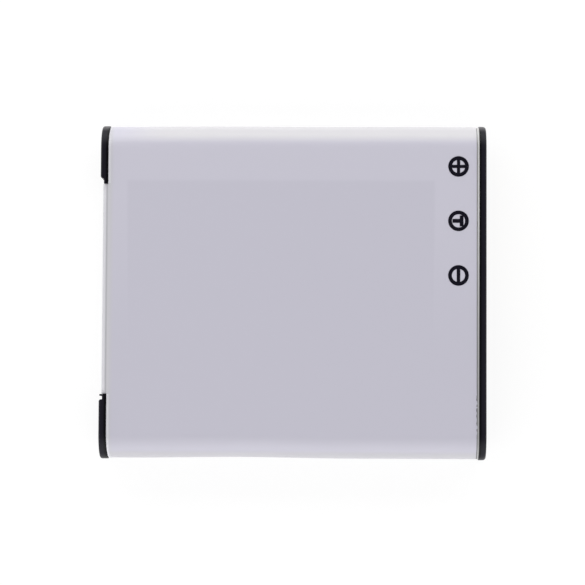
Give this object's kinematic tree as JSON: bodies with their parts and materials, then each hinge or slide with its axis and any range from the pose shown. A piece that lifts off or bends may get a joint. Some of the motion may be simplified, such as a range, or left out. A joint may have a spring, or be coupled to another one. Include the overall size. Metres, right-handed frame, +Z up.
{
  "type": "camera battery",
  "caption": "Slim flat rechargeable camera battery with a wrapped film label, black end caps, and plated contacts behind windows in one end.",
  "frame": {"origin": "middle of the pack's outline, on the surface that it lies on", "axes": "+X along the pack towards its contact end, +Y across it towards the plus contact, +Z up through the marked face"},
  "size_m": [0.04, 0.0348, 0.0059],
  "materials": {
    "label_film": "satin printed film, pale lavender grey",
    "mark_ink": "near-black printing ink of the polarity marks on the label",
    "black_plastic": "black moulded plastic with a fine satin texture",
    "pale_plastic": "natural pale moulded plastic",
    "can_metal": "drawn aluminium can with a welded lid",
    "strap_metal": "nickel strip, spot welded",
    "contact_metal": "gold plating over nickel",
    "board_laminate": "glass laminate board with green solder mask",
    "chip_plastic": "black moulded chip package",
    "chip_ceramic": "small ceramic block with tinned ends",
    "gasket_plastic": "moulded insulating ring",
    "insulator_card": "insulating card",
    "bond_tape": "double-sided tissue tape",
    "cutoff_body": "flat sealed cut-off body"
  },
  "bodies": {
    "root": {"wrap_label": "label_film", "base_cap": "black_plastic", "contact_cap": "black_plastic", "board_frame": "pale_plastic", "base_tape": "bond_tape", "cell": "can_metal", "fill_plug": "can_metal", "terminal_gasket": "gasket_plastic", "negative_terminal": "strap_metal", "weld_pad": "strap_metal", "lid_insulator": "insulator_card", "heat_cutoff": "cutoff_body", "link_strap": "strap_metal", "negative_strap": "strap_metal", "positive_strap": "strap_metal", "circuit_board": "board_laminate", "switch_chip": "chip_plastic", "protection_chip": "chip_plastic", "resistor_1": "chip_ceramic", "resistor_2": "chip_ceramic", "resistor_3": "chip_ceramic", "capacitor_1": "chip_ceramic", "capacitor_2": "chip_ceramic", "temperature_sensor": "chip_ceramic", "plus_contact": "contact_metal", "sense_contact": "contact_metal", "minus_contact": "contact_metal"}
  },
  "joints": []
}
